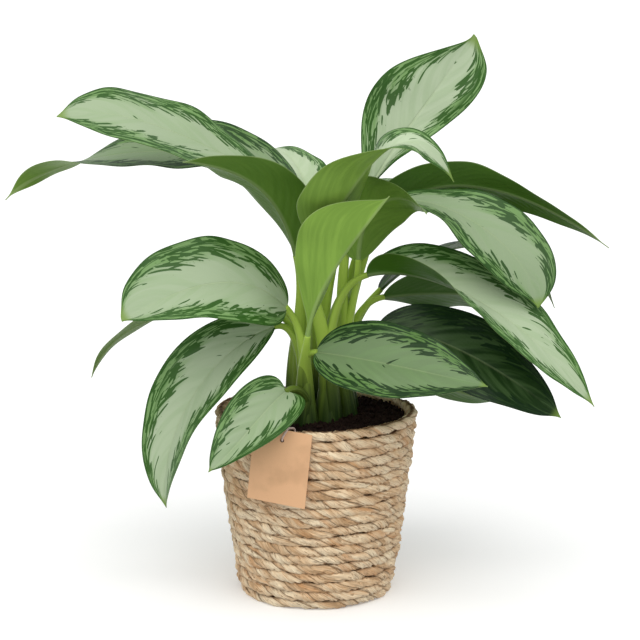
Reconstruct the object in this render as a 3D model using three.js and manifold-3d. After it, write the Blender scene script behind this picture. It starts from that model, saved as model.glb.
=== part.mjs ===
// A Chinese evergreen with silver leaves, planted in a tapered basket of coiled rope.
// Millimetres, +Z up. The origin is the centre of the basket's underside, on the surface it stands on,
// and -Y is the front, where the paper tag hangs.
import * as THREE from "three";
import { mergeVertices } from "three/addons/utils/BufferGeometryUtils.js";
import Module from "manifold-3d";

const wasm = await Module();
wasm.setup();

// ---- Driving dimensions -------------------------------------------------------------------------

const SEAT_GAP = 0.3; // between two pieces that rest on each other

const RIM_RADIUS = 100; // basket, outside at the top
const BASE_RADIUS = 76; // basket, outside at the bottom
const BASKET_HEIGHT = 184;
const BASKET_BELLY = 1.5; // how far the side bellies out of its straight taper, halfway up
const BASKET_WALL = 9;
const BASKET_FLOOR = 8;
const ROPE_COURSES = 19; // turns of rope from floor to rim
const ROPE_GROOVE = 2.2; // how deep the groove between two courses is
const STRAND_RELIEF = 1.0; // how far the rope's twist raises and sinks a crest
const BASKET_SIDES = 50;

const LINER_WALL = 1.0;
const LINER_GAP = 0.8; // between the liner and the basket's wall
const LINER_TOP = 171;
const SOIL_TOP = 175.5;
const SOIL_ROUGHNESS = 1.1; // height of its lumps
const SOIL_RINGS = 6;
const SOIL_SIDES = 30;

const TAG_WIDTH = 58;
const TAG_HEIGHT = 73;
const TAG_THICKNESS = 0.8;
const TAG_HOLE_RADIUS = 2.2;
const TAG_HOLE_INSET = 10.5; // from the tag's top edge
const TAG_HOLE_HEIGHT = 176; // above the surface the basket stands on
const TAG_YAW = 18.4; // degrees round the basket from the front, to the left
const TAG_SWING = 6; // degrees the tag hangs out of plumb
const TAG_STANDOFF = 0.9; // from its back to the rim's crest
const TWINE_RADIUS = 0.9;
const TWINE_STEPS = 24;
const TWINE_SIDES = 8;

// The twine's route from the tag's back through its hole, up over the rim and down inside it: right, up
// and out from the hole, on the tag's back.
const TWINE_ROUTE = [
  [0, 0, -0.5],
  [0.2, 0.5, 1.4],
  [1.6, 4, 2.9],
  [4.6, 9, 2.7],
  [6.6, 12, 0.6],
  [7.6, 11, -4.5],
  [8.2, 9.6, -9.3],
  [8.4, 7, -11.7],
  [8.5, 2.8, -12.3],
];

const BLADE_THICKNESS = 0.9;
const RIB_THICKNESS = 3.0; // at the blade's base, thinning to the blade's own thickness at the tip
const BLADE_STATIONS = [0, 0.025, 0.08, 0.16, 0.27, 0.39, 0.51, 0.63, 0.75, 0.86, 0.94, 1];
const BLADE_ACROSS = [-1, -0.5, 0, 0.5, 1];
const BLADE_ROOT_HALF = 2.4;
const BLADE_TIP_HALF = 0.5;
const LOBE_FADE = 6; // the basal lobes' sweep dies out as this power of the way to the tip
const WAVE_SWING = 14; // radians of margin wave from base to tip
const WAVE_OFFSET = 2; // radians by which the right margin's wave leads the left one's
const NORMAL_STEP = 0.01; // along and across the blade, for its surface's slopes

const STALK_RADIUS = 3.0; // petiole, where it meets the blade
const SHEATH_RADII = [10, 6.5]; // petiole, where it leaves the cane: across and along its lean
const STALK_SIDES = 6;
const STALK_STEPS = 7;
const STALK_RISE = 0.5; // of its reach that a petiole keeps its cane's direction
const STALK_RUN = 0.3; // of its reach that it keeps the blade's direction
const SHEATH_FADE = 1.4; // power by which the sheath narrows to the petiole
const CANE_RADIUS = 10;
const CANE_SIDES = 8;
const CANE_HEIGHT = 38; // above the soil
const CANE_DEPTH = 60; // below it
const CANE_CLEARANCE = 0.4; // between a cane and its hole in the soil
// Above the soil, each ring's height as a share of the cane's and its radius as a share of the full one.
const CANE_TAPER = [
  [0.16, 1],
  [0.7, 0.9],
  [1, 0.5],
];
const HOLE_RISE = 9; // above the soil's level, so that a cane's hole cuts through its highest lump

// Where each shoot's cane stands, from the basket's axis.
const SHOOTS = {
  1: [-11, -27],
  2: [-20, 2],
  3: [12, -17],
  4: [27, 4],
  5: [3, 26],
  6: [29, 35],
};

// Each leaf: its shoot, the height above the soil where its petiole leaves the cane, the widths of its left
// and right half, the powers by which its left half widens from the base and narrows to the tip and those of
// its right half,
// its midrib through four even steps from base to tip, its roll about the midrib at base, middle and tip,
// the lift of its left half at base and tip and of its right half at base and tip, the extra bend across
// each half, the sweep of its basal lobes and the height of its margin's waves.
const LEAVES = {
  left_top: {
    shoot: 2, from: 30, halves: [49, 49], taper: [1.2, 0.85, 1.3, 0.85],
    midrib: [[-18, 8, 399], [-89, -18, 437], [-165, -38, 471], [-242, -50, 476]],
    roll: [-45, -38, -38], lift: [15, 8, 5, 0], curl: [10, -10], lobe: 4, wave: 2,
  },
  left_far: {
    shoot: 2, from: 20, halves: [45, 45], taper: [2.2, 1.6, 0.9, 1.5],
    midrib: [[-13, 28, 394], [-92, 45, 428], [-212, 48, 426], [-307, 50, 383]],
    roll: [20, -32, 95], lift: [60, 0, 5, 0], curl: [0, 0], lobe: 4, wave: 2,
  },
  left_under: {
    shoot: 2, from: 12, halves: [36, 36], taper: [0.5, 0.9, 0.8, 0.9],
    midrib: [[-19, -20, 338], [-38, -45, 390], [-70, -80, 424], [-121, -110, 441]],
    roll: [30, 40, 40], lift: [15, 5, 55, 38], curl: [0, 0], lobe: 2, wave: 2,
  },
  back_left: {
    shoot: 5, from: 30, halves: [29, 29], taper: [0.6, 0.85, 0.6, 0.85],
    midrib: [[-6, 55, 372], [-14, 85, 402], [-32, 125, 420], [-60, 165, 417]],
    roll: [0, 0, 0], lift: [15, 5, 15, 5], curl: [0, 0], lobe: 6, wave: 2,
  },
  top: {
    shoot: 4, from: 34, halves: [54, 36], taper: [1.6, 1.35, 2.0, 0.55],
    midrib: [[43, 18, 381], [77, 34, 437], [113, 45, 486], [154, 48, 546]],
    roll: [80, 80, 80], lift: [0, 5, 10, 5], curl: [10, 10], lobe: 2, wave: 4,
  },
  crown_front: {
    shoot: 3, from: 30, halves: [43, 43], taper: [0.45, 1.0, 0.6, 1.15],
    midrib: [[-2, -48, 349], [33, -78, 411], [77, -78, 454], [129, -62, 416]],
    roll: [-90, -15, 60], lift: [60, 5, 30, 0], curl: [0, 0], lobe: 3, wave: 2,
  },
  right_dark: {
    shoot: 4, from: 30, halves: [35, 35], taper: [0.6, 0.85, 0.6, 0.85],
    midrib: [[41, 2, 330], [54, -8, 380], [80, -36, 397], [103, -76, 388]],
    roll: [-30, -40, -30], lift: [15, 5, 15, 5], curl: [0, 0], lobe: 3, wave: 2,
  },
  right_silver: {
    shoot: 4, from: 34, halves: [40, 40], taper: [1.5, 0.8, 1.6, 1.0],
    midrib: [[57, 14, 363], [104, 4, 388], [175, -16, 354], [213, -32, 290]],
    roll: [5, 30, 75], lift: [15, 5, 15, 15], curl: [0, 0], lobe: 4, wave: 2,
  },
  right_under: {
    shoot: 6, from: 34, halves: [35, 35], taper: [0.7, 1.2, 0.5, 1.5],
    midrib: [[55, 35, 357], [128, 55, 396], [214, 65, 379], [293, 60, 333]],
    roll: [-50, -40, -30], lift: [15, 5, 15, 5], curl: [0, 0], lobe: 4, wave: 2,
  },
  right_big: {
    shoot: 3, from: 60, halves: [46, 46], taper: [0.75, 1.0, 0.75, 0.95],
    midrib: [[49, -8, 318], [119, -27, 314], [197, -40, 270], [268, -45, 196]],
    roll: [50, 42, 45], lift: [0, 0, 125, 15], curl: [0, 0], lobe: 6, wave: 2,
  },
  right_low_back: {
    shoot: 6, from: 26, halves: [40, 40], taper: [0.6, 0.85, 0.6, 0.85],
    midrib: [[66, 30, 289], [116, 45, 290], [177, 60, 281], [235, 70, 252]],
    roll: [-35, -38, -30], lift: [15, 5, 15, 5], curl: [0, 0], lobe: 4, wave: 2,
  },
  right_back: {
    shoot: 6, from: 32, halves: [40, 40], taper: [0.6, 0.85, 0.6, 0.85],
    midrib: [[64, 60, 290], [126, 85, 325], [193, 100, 322], [244, 95, 265]],
    roll: [-10, -10, 0], lift: [15, 5, 15, 5], curl: [0, 0], lobe: 4, wave: 2,
  },
  right_low: {
    shoot: 4, from: 14, halves: [39, 39], taper: [0.8, 0.9, 0.8, 0.85],
    midrib: [[60, -15, 270], [116, -22, 257], [178, -28, 226], [238, -30, 181]],
    roll: [50, 55, 50], lift: [10, 5, 10, 5], curl: [0, 0], lobe: 6, wave: 2,
  },
  front_right: {
    shoot: 1, from: 16, halves: [42, 42], taper: [0.55, 0.95, 0.6, 1.0],
    midrib: [[0, -55, 252], [53, -85, 250], [106, -110, 244], [158, -130, 236]],
    roll: [52, 53, 42], lift: [10, 5, 32, 22], curl: [-10, -10], lobe: 4, wave: 1,
  },
  right_low_under: {
    shoot: 6, from: 16, halves: [33, 33], taper: [0.6, 0.85, 0.6, 0.85],
    midrib: [[52, 30, 225], [101, 48, 205], [151, 62, 183], [203, 72, 174]],
    roll: [-30, -35, -20], lift: [10, 5, 10, 5], curl: [0, 0], lobe: 4, wave: 2,
  },
  left_mid: {
    shoot: 1, from: 24, halves: [49, 49], taper: [0.55, 0.95, 0.55, 0.5],
    midrib: [[-28, -30, 290], [-74, -60, 320], [-127, -80, 315], [-181, -90, 289]],
    roll: [-55, -55, -50], lift: [14, 28, 5, 5], curl: [-10, -10], lobe: 12, wave: 1,
  },
  left_mid_under: {
    shoot: 2, from: 14, halves: [30, 30], taper: [0.6, 0.85, 0.6, 0.85],
    midrib: [[-32, 0, 274], [-82, 8, 282], [-163, 14, 269], [-222, 15, 211]],
    roll: [12, 16, 20], lift: [15, 5, 15, 5], curl: [0, 0], lobe: 3, wave: 1,
  },
  left_low: {
    shoot: 1, from: 14, halves: [42, 42], taper: [0.8, 0.6, 0.7, 0.85],
    midrib: [[-39, -15, 269], [-95, -28, 234], [-136, -34, 169], [-146, -38, 93]],
    roll: [-50, -55, -50], lift: [5, 50, 10, 5], curl: [0, 0], lobe: 8, wave: 2,
  },
  left_small: {
    shoot: 1, from: 6, halves: [32, 32], taper: [0.45, 1.15, 0.45, 0.85],
    midrib: [[-28, -64, 216], [-51, -92, 199], [-75, -112, 175], [-100, -124, 153]],
    roll: [-55, -52, -45], lift: [35, 35, 5, 5], curl: [0, 0], lobe: 14, wave: 1,
  },
  front_young: {
    shoot: 1, from: 24, halves: [49, 49], taper: [1.5, 0.95, 2.1, 1.45],
    midrib: [[-8, -62, 268], [7, -78, 317], [35, -88, 363], [68, -84, 406]],
    roll: [-90, -80, -70], lift: [85, 88, 10, 5], curl: [0, 0], lobe: 2, wave: 1,
  },
  back_up: {
    shoot: 5, from: 34, halves: [40, 40], taper: [0.6, 0.85, 0.6, 0.85],
    midrib: [[29, 70, 365], [37, 120, 383], [48, 170, 387], [60, 220, 364]],
    roll: [0, 0, 0], lift: [15, 5, 15, 5], curl: [0, 0], lobe: 6, wave: 2,
  },
  back_low_left: {
    shoot: 5, from: 20, halves: [36, 32], taper: [0.9, 0.85, 0.9, 0.85],
    midrib: [[-52, 75, 284], [-88, 118, 298], [-128, 166, 292], [-165, 212, 262]],
    roll: [0, 0, 0], lift: [15, 5, 15, 5], curl: [0, 0], lobe: 6, wave: 2,
  },
  back_low_right: {
    shoot: 6, from: 20, halves: [42, 42], taper: [0.9, 0.85, 0.8, 0.85],
    midrib: [[40, 60, 238], [76, 108, 228], [114, 156, 202], [150, 200, 160]],
    roll: [0, 0, 0], lift: [15, 5, 15, 5], curl: [0, 0], lobe: 6, wave: 2,
  },
  back_mid: {
    shoot: 5, from: 26, halves: [40, 40], taper: [0.6, 0.85, 0.6, 0.85],
    midrib: [[9, 65, 346], [2, 120, 368], [-8, 175, 370], [-17, 225, 352]],
    roll: [0, 0, 0], lift: [15, 5, 15, 5], curl: [0, 0], lobe: 6, wave: 2,
  },
};

// ---- Materials ----------------------------------------------------------------------------------

function finish(color, roughness) {
  return new THREE.MeshStandardMaterial({ color, roughness, metalness: 0 });
}

const LEAF_SILVER = finish(0x9db797, 0.45);
const STALK_GREEN = finish(0x6d9a3a, 0.45);
const SEAGRASS = finish(0xc9a77c, 0.85);
const LINER_FILM = finish(0x1b1b1d, 0.5);
const POTTING_SOIL = finish(0x241812, 0.95);
const KRAFT_CARD = finish(0xcc9f76, 0.8);
const TWINE = finish(0xd8c7b8, 0.85);

// ---- Solids -------------------------------------------------------------------------------------

const UP = new THREE.Vector3(0, 0, 1);
const radians = THREE.MathUtils.degToRad;
const mix = THREE.MathUtils.lerp;
const vector = ([x, y, z]) => new THREE.Vector3(x, y, z);

function indexed(points, triangles) {
  const geometry = new THREE.BufferGeometry();
  const places = points.flatMap((p) => [p.x, p.y, p.z]);
  geometry.setAttribute("position", new THREE.Float32BufferAttribute(places, 3));
  return geometry.setIndex(triangles.flat());
}

// A closed skin over rings of equally many points, with a flat fan on the first and the last ring.
function loft(rings) {
  const n = rings[0].length;
  const triangles = [];
  rings.slice(1).forEach((_, r) => {
    for (let i = 0; i < n; i++) {
      const a = r * n + i;
      const b = r * n + ((i + 1) % n);
      triangles.push([a, b, b + n], [a, b + n, a + n]);
    }
  });
  const last = (rings.length - 1) * n;
  for (let i = 1; i < n - 1; i++) {
    triangles.push([0, i + 1, i], [last, last + i, last + i + 1]);
  }
  return indexed(rings.flat(), triangles);
}

// A tube along a route: an oval section, whose first axis starts out along `across` and turns with the route.
function sweep(route, across, radiiAt, steps, sides) {
  const rings = [];
  for (let step = 0; step <= steps; step++) {
    const along = route.getTangent(step / steps);
    across = across.clone().addScaledVector(along, -across.dot(along)).normalize();
    const normal = new THREE.Vector3().crossVectors(along, across);
    const centre = route.getPoint(step / steps);
    const [wide, deep] = radiiAt(step / steps);
    const section = (_, i) => {
      const angle = (2 * Math.PI * i) / sides;
      const out = across.clone().multiplyScalar(wide * Math.cos(angle));
      return out.addScaledVector(normal, deep * Math.sin(angle)).add(centre);
    };
    rings.push(Array.from({ length: sides }, section));
  }
  return loft(rings);
}

function solid(geometry) {
  const bare = geometry.clone();
  bare.deleteAttribute("normal");
  bare.deleteAttribute("uv");
  const merged = mergeVertices(bare, 1e-4);
  return new wasm.Manifold(
    new wasm.Mesh({
      numProp: 3,
      vertProperties: new Float32Array(merged.attributes.position.array),
      triVerts: new Uint32Array(merged.index.array),
    }),
  );
}

function geometryOf(manifold) {
  const mesh = manifold.getMesh();
  const geometry = new THREE.BufferGeometry();
  geometry.setAttribute("position", new THREE.BufferAttribute(new Float32Array(mesh.vertProperties), 3));
  return geometry.setIndex(new THREE.BufferAttribute(new Uint32Array(mesh.triVerts), 1));
}

const plant = new THREE.Group();

function piece(name, geometry, material) {
  const mesh = new THREE.Mesh(geometry, material);
  mesh.name = name;
  plant.add(mesh);
  return mesh;
}

// ---- Basket, liner and soil ---------------------------------------------------------------------

// The basket's outside radius at a height: a straight taper that bellies out a little halfway up.
function basketRadius(z) {
  const t = z / BASKET_HEIGHT;
  return mix(BASE_RADIUS, RIM_RADIUS, t) + BASKET_BELLY * Math.sin(Math.PI * t);
}

function ring(radiusAt, z, sides) {
  return Array.from({ length: sides }, (_, i) => {
    const angle = (2 * Math.PI * i) / sides;
    const radius = radiusAt(angle, i);
    return new THREE.Vector3(radius * Math.cos(angle), radius * Math.sin(angle), z);
  });
}

// Rope courses stand out as crests between grooves, and the rope's twist raises every other step of a crest.
function basket() {
  const pitch = BASKET_HEIGHT / ROPE_COURSES;
  const plain = (radius) => () => radius;
  const rings = [ring(plain(basketRadius(0) - ROPE_GROOVE), 0, BASKET_SIDES)];
  for (let course = 0; course < ROPE_COURSES; course++) {
    const middle = (course + 0.5) * pitch;
    const twisted = (_, i) => basketRadius(middle) - STRAND_RELIEF * ((i + course) % 2);
    rings.push(ring(twisted, middle, BASKET_SIDES));
    const groove = basketRadius(middle + pitch / 2) - ROPE_GROOVE;
    rings.push(ring(plain(groove), middle + pitch / 2, BASKET_SIDES));
  }
  rings.push(ring(plain(basketRadius(BASKET_HEIGHT) - BASKET_WALL), BASKET_HEIGHT, BASKET_SIDES));
  rings.push(ring(plain(basketRadius(BASKET_FLOOR) - BASKET_WALL), BASKET_FLOOR, BASKET_SIDES));
  return loft(rings);
}

// The basket's inner wall is a straight taper.
const insideRadius = (z) => mix(BASE_RADIUS, RIM_RADIUS, z / BASKET_HEIGHT) - BASKET_WALL;

function liner() {
  const floor = BASKET_FLOOR + SEAT_GAP;
  const outer = (z) => insideRadius(z) - LINER_GAP;
  const profile = [
    [0, floor],
    [outer(floor), floor],
    [outer(LINER_TOP), LINER_TOP],
    [outer(LINER_TOP) - LINER_WALL, LINER_TOP],
    [outer(floor) - LINER_WALL, floor + LINER_WALL],
    [0, floor + LINER_WALL],
  ];
  const points = profile.map(([r, z]) => new THREE.Vector2(r, z));
  const geometry = new THREE.LatheGeometry(points, BASKET_SIDES);
  return geometry.rotateX(Math.PI / 2);
}

// The soil's edge stays inside the flats of the liner's inner wall.
function soilRadius(z) {
  const corner = insideRadius(z) - LINER_GAP - LINER_WALL;
  return corner * Math.cos(Math.PI / BASKET_SIDES) - SEAT_GAP;
}

// Low lumps on the soil, from crossing waves.
function soilHeight(x, y) {
  const lumps = Math.sin(x / 9 + 1) * Math.cos(y / 11) + 0.6 * Math.sin((x + y) / 6) * Math.sin(y / 7 + 2);
  return SOIL_TOP + SOIL_ROUGHNESS * lumps;
}

function soil(stems) {
  const floor = BASKET_FLOOR + SEAT_GAP + LINER_WALL + SEAT_GAP;
  const top = soilRadius(SOIL_TOP);
  const rings = [ring(() => soilRadius(floor), floor, SOIL_SIDES)];
  for (let i = SOIL_RINGS; i > 0; i--) {
    const flat = ring(() => (top * i) / SOIL_RINGS, 0, SOIL_SIDES);
    rings.push(flat.map((p) => p.setZ(soilHeight(p.x, p.y))));
  }
  const holes = stems.map((stem) => solid(caneHole(stem)));
  const cut = holes.reduce((earth, hole) => earth.subtract(hole), solid(loft(rings)));
  return geometryOf(cut);
}

// ---- Leaves -------------------------------------------------------------------------------------

// The cubic that passes through four points at even steps.
function midribOf(leaf) {
  const [a, b, c, d] = leaf.midrib.map(vector);
  const blend = (...weights) =>
    [a, b, c, d].reduce((sum, p, i) => sum.addScaledVector(p, weights[i] / 6), new THREE.Vector3());
  return new THREE.CubicBezierCurve3(a, blend(-5, 18, -9, 2), blend(2, -9, 18, -5), d);
}

// The quadratic through three values at 0, 1/2 and 1.
function through([start, middle, end], t) {
  return start * (1 - t) * (1 - 2 * t) + middle * 4 * t * (1 - t) + end * t * (2 * t - 1);
}

// The width at u of one half of the flat blade, 0 the left one and 1 the right one: it rises from the base
// to its widest place and falls to the tip.
function halfWidth(leaf, u, side) {
  const [base, tip] = leaf.taper.slice(2 * side);
  const shape = (t) => t ** base * (1 - t) ** tip;
  const least = mix(BLADE_ROOT_HALF, BLADE_TIP_HALF, u);
  return Math.max(least, (leaf.halves[side] * shape(u)) / shape(base / (base + tip)));
}

// A point of the blade's middle surface: u runs from base to tip, and v from -1, the right margin, to 1, the
// left one. Each half leaves the midrib at its lift and bends by its curl, along an arc that keeps its width.
function bladePoint(leaf, rib, u, v) {
  const along = rib.getTangent(u);
  const reach = vector(leaf.midrib[3]).sub(vector(leaf.midrib[0])).setZ(0).normalize();
  const level = new THREE.Vector3().crossVectors(UP, reach);
  const left = level.addScaledVector(along, -level.dot(along)).normalize();
  left.applyAxisAngle(along, radians(through(leaf.roll, u)));
  const above = new THREE.Vector3().crossVectors(along, left);
  const side = v < 0 ? 1 : 0;
  const lift = radians(mix(leaf.lift[2 * side + 1], leaf.lift[2 * side], (1 - u) ** 2));
  const bend = radians(leaf.curl[side]) + 1e-6;
  const share = Math.abs(v);
  const width = halfWidth(leaf, u, side);
  const out = (width * (Math.sin(lift + bend * share) - Math.sin(lift))) / bend;
  const rise = (width * (Math.cos(lift) - Math.cos(lift + bend * share))) / bend;
  const phase = WAVE_SWING * u + WAVE_OFFSET * side;
  const wave = leaf.wave * share ** 2 * Math.sin(phase) * Math.sin(Math.PI * u);
  const lobe = (leaf.lobe * share * (width - BLADE_ROOT_HALF) * (1 - u) ** LOBE_FADE) / leaf.halves[side];
  return rib
    .getPoint(u)
    .addScaledVector(left, side ? -out : out)
    .addScaledVector(above, rise + wave)
    .addScaledVector(along, -Math.max(0, lobe));
}

function bladeNormal(leaf, rib, u, v) {
  const [u0, u1] = [Math.max(0, u - NORMAL_STEP), Math.min(1, u + NORMAL_STEP)];
  const [v0, v1] = [Math.max(-1, v - NORMAL_STEP), Math.min(1, v + NORMAL_STEP)];
  const lengthwise = bladePoint(leaf, rib, u1, v).sub(bladePoint(leaf, rib, u0, v));
  const crosswise = bladePoint(leaf, rib, u, v1).sub(bladePoint(leaf, rib, u, v0));
  return lengthwise.cross(crosswise).normalize();
}

// Both faces share one pattern of triangles, so that they never cross.
function blade(leaf) {
  const rib = midribOf(leaf);
  const columns = BLADE_ACROSS.length;
  const rows = BLADE_STATIONS.length;
  const top = [];
  const bottom = [];
  BLADE_STATIONS.forEach((u) => {
    BLADE_ACROSS.forEach((v) => {
      const middle = bladePoint(leaf, rib, u, v);
      const normal = bladeNormal(leaf, rib, u, v);
      const thickness = v === 0 ? mix(RIB_THICKNESS, BLADE_THICKNESS, Math.sqrt(u)) : BLADE_THICKNESS;
      top.push(middle.clone().addScaledVector(normal, BLADE_THICKNESS / 2));
      bottom.push(middle.clone().addScaledVector(normal, BLADE_THICKNESS / 2 - thickness));
    });
  });
  const under = top.length;
  const triangles = [];
  const wall = (a, b) => triangles.push([b, under + b, under + a], [b, under + a, a]);
  for (let r = 0; r < rows - 1; r++) {
    for (let c = 0; c < columns - 1; c++) {
      const a = r * columns + c;
      const b = a + columns;
      triangles.push([a, b, b + 1], [a, b + 1, a + 1]);
      triangles.push([under + a, under + b + 1, under + b], [under + a, under + a + 1, under + b + 1]);
    }
    wall((r + 1) * columns, r * columns);
    wall(r * columns + columns - 1, (r + 1) * columns + columns - 1);
  }
  for (let c = 0; c < columns - 1; c++) {
    wall(c, c + 1);
    wall((rows - 1) * columns + c + 1, (rows - 1) * columns + c);
  }
  return indexed([...top, ...bottom], triangles);
}

// ---- Shoots -------------------------------------------------------------------------------------

function caneRing([x, y], radius, z) {
  return ring(() => radius, z, CANE_SIDES).map((p) => p.setX(p.x + x).setY(p.y + y));
}

// The cane goes straight down into the soil and narrows to a blunt top among the sheaths.
function cane(place) {
  const foot = caneRing(place, CANE_RADIUS, SOIL_TOP - CANE_DEPTH);
  const above = ([height, radius]) => caneRing(place, CANE_RADIUS * radius, SOIL_TOP + CANE_HEIGHT * height);
  return loft([foot, ...CANE_TAPER.map(above)]);
}

function caneHole(place) {
  const wide = CANE_RADIUS + CANE_CLEARANCE;
  return loft([
    caneRing(place, wide, SOIL_TOP - CANE_DEPTH - SEAT_GAP),
    caneRing(place, wide, SOIL_TOP + HOLE_RISE),
  ]);
}

// A petiole rises along its cane, then leans out and meets the blade in the midrib's own direction.
function petiole(leaf) {
  const rib = midribOf(leaf);
  const [x, y] = SHOOTS[leaf.shoot];
  const leaves = new THREE.Vector3(x, y, SOIL_TOP + leaf.from);
  const heading = rib.getTangent(0);
  const meets = rib.getPoint(0).addScaledVector(heading, -SEAT_GAP);
  const reach = leaves.distanceTo(meets);
  const route = new THREE.CubicBezierCurve3(
    leaves,
    leaves.clone().addScaledVector(UP, STALK_RISE * reach),
    meets.clone().addScaledVector(heading, -STALK_RUN * reach),
    meets,
  );
  const across = new THREE.Vector3().crossVectors(UP, meets.clone().sub(leaves).setZ(0));
  const radii = (t) => SHEATH_RADII.map((sheath) => mix(STALK_RADIUS, sheath, (1 - t) ** SHEATH_FADE));
  return sweep(route, across, radii, STALK_STEPS, STALK_SIDES);
}

function shoot(number, place) {
  const carried = Object.values(LEAVES).filter((leaf) => String(leaf.shoot) === number);
  const grown = carried.reduce((stem, leaf) => stem.add(solid(petiole(leaf))), solid(cane(place)));
  return geometryOf(grown);
}

// ---- Tag ----------------------------------------------------------------------------------------

// Puts a shape drawn as right, up and out from the tag's hole in its place on the basket.
function atTagHole(geometry) {
  const yaw = radians(TAG_YAW);
  const right = new THREE.Vector3(Math.cos(yaw), -Math.sin(yaw), 0);
  const out = new THREE.Vector3().crossVectors(right, UP);
  const rim = basketRadius(BASKET_HEIGHT * (1 - 0.5 / ROPE_COURSES));
  const place = out.clone().multiplyScalar(rim + TAG_STANDOFF).setZ(TAG_HOLE_HEIGHT);
  return geometry.applyMatrix4(new THREE.Matrix4().makeBasis(right, UP, out).setPosition(place));
}

function tag() {
  const [left, right] = [-TAG_WIDTH / 2, TAG_WIDTH / 2];
  const [bottom, top] = [TAG_HOLE_INSET - TAG_HEIGHT, TAG_HOLE_INSET];
  const corners = [[left, bottom], [right, bottom], [right, top], [left, top]];
  const card = new THREE.Shape(corners.map(([x, y]) => new THREE.Vector2(x, y)));
  card.holes.push(new THREE.Path().absarc(0, 0, TAG_HOLE_RADIUS, 0, 2 * Math.PI, true));
  const options = { depth: TAG_THICKNESS, bevelEnabled: false, curveSegments: 8 };
  return atTagHole(new THREE.ExtrudeGeometry(card, options).rotateZ(-radians(TAG_SWING)));
}

function twine() {
  const section = new THREE.Shape().absarc(0, 0, TWINE_RADIUS, 0, 2 * Math.PI);
  const extrudePath = new THREE.CatmullRomCurve3(TWINE_ROUTE.map(vector));
  const options = { steps: TWINE_STEPS, curveSegments: TWINE_SIDES / 2, extrudePath, bevelEnabled: false };
  return atTagHole(new THREE.ExtrudeGeometry(section, options));
}

// ---- Assembly -----------------------------------------------------------------------------------

piece("basket", basket(), SEAGRASS);
piece("liner", liner(), LINER_FILM);
piece("soil", soil(Object.values(SHOOTS)), POTTING_SOIL);
piece("tag", tag(), KRAFT_CARD);
piece("tag_twine", twine(), TWINE);
for (const [number, place] of Object.entries(SHOOTS)) {
  piece(`shoot_${number}`, shoot(number, place), STALK_GREEN);
}
for (const [name, leaf] of Object.entries(LEAVES)) {
  piece(`leaf_${name}`, blade(leaf), LEAF_SILVER);
}

export default plant;
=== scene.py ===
"""A potted Chinese evergreen: silver leaves on sheathed stalks, in a basket of coiled rope with a paper tag.

Metres, +Z up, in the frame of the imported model. -Y is the front, where the tag hangs.
"""

import math
from typing import NamedTuple

import bmesh
import bpy
import numpy as np
from bpy.props import FloatProperty, FloatVectorProperty, IntProperty, PointerProperty
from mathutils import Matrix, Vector


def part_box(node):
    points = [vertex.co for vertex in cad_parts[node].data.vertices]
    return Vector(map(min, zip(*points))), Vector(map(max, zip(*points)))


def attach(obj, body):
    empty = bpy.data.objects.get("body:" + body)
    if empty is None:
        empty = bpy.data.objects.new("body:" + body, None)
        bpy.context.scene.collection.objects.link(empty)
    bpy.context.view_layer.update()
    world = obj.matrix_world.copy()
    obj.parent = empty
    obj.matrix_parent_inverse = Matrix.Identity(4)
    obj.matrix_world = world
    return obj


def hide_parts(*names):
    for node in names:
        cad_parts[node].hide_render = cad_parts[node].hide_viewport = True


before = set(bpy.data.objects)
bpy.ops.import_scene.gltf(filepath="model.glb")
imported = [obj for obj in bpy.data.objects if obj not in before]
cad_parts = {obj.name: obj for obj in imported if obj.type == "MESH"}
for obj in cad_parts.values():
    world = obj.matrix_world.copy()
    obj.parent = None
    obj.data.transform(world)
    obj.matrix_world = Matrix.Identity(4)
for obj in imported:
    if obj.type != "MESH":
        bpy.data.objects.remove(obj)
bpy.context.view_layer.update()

bl_info = {
    "name": "Potted Chinese Evergreen",
    "version": (1, 0, 0),
    "blender": (4, 5, 0),
    "location": "3D View > Sidebar > Plant",
    "description": "Leaves, stalks, rope basket, soil, paper tag and studio for a potted Chinese evergreen",
    "category": "Object",
}

UP = np.array([0.0, 0.0, 1.0])
TURN = 2 * math.pi

# ---- Sizes shared by the pieces -----------------------------------------------------------------

BASKET_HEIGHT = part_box("basket")[1].z
RIM_RADIUS = 0.100
BASE_RADIUS = 0.076
BASKET_BELLY = 0.0015
BASKET_FLOOR = 0.008
SOIL_TOP = 0.1755
COURSE_PRESS = 0.0009  # by which two courses of rope sink into each other
FOOT_INSET = 0.0016  # of the lowest course
FIBRE_LENGTH = 0.022
FIBRE_WIDTH = 0.0016

STALK_RADIUS = 0.0030
SHEATH_RADII = (0.010, 0.0065)
HOLLOW_DEPTH = 0.30  # of a sheath, as a share of its radius
HOLLOW_HALF = 0.45  # in radians round the sheath
EDGE_HEIGHT = 0.16
EDGE_PLACE = 0.85
EDGE_HALF = 0.16
STALK_RISE = 0.5
STALK_RUN = 0.3
SHEATH_FADE = 1.4
CANE_RADIUS = 0.0075
CANE_HEIGHT = 0.026

BLADE_ROOT_HALF = 0.0024
BLADE_TIP_HALF = 0.0005
TIP_PINCH = 0.45  # share of its width that a blade loses at the tip
TIP_PINCH_LENGTH = 0.05  # share of the midrib over which it does
GROOVE_DEPTH = 0.0005
GROOVE_HALF = 0.0011
RIB_TIP_DEPTH = 0.0002
RIB_HALVES = (0.0021, 0.0009)
LOBE_FADE = 6
WAVE_SWING = 14
WAVE_OFFSET = 2

TAG_HOLE_HEIGHT = 0.176
TAG_YAW = math.radians(18.4)
TAG_STANDOFF = 0.0009
TWINE_LAY = 0.0045

FLOOR_REACH = 30.0

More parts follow.
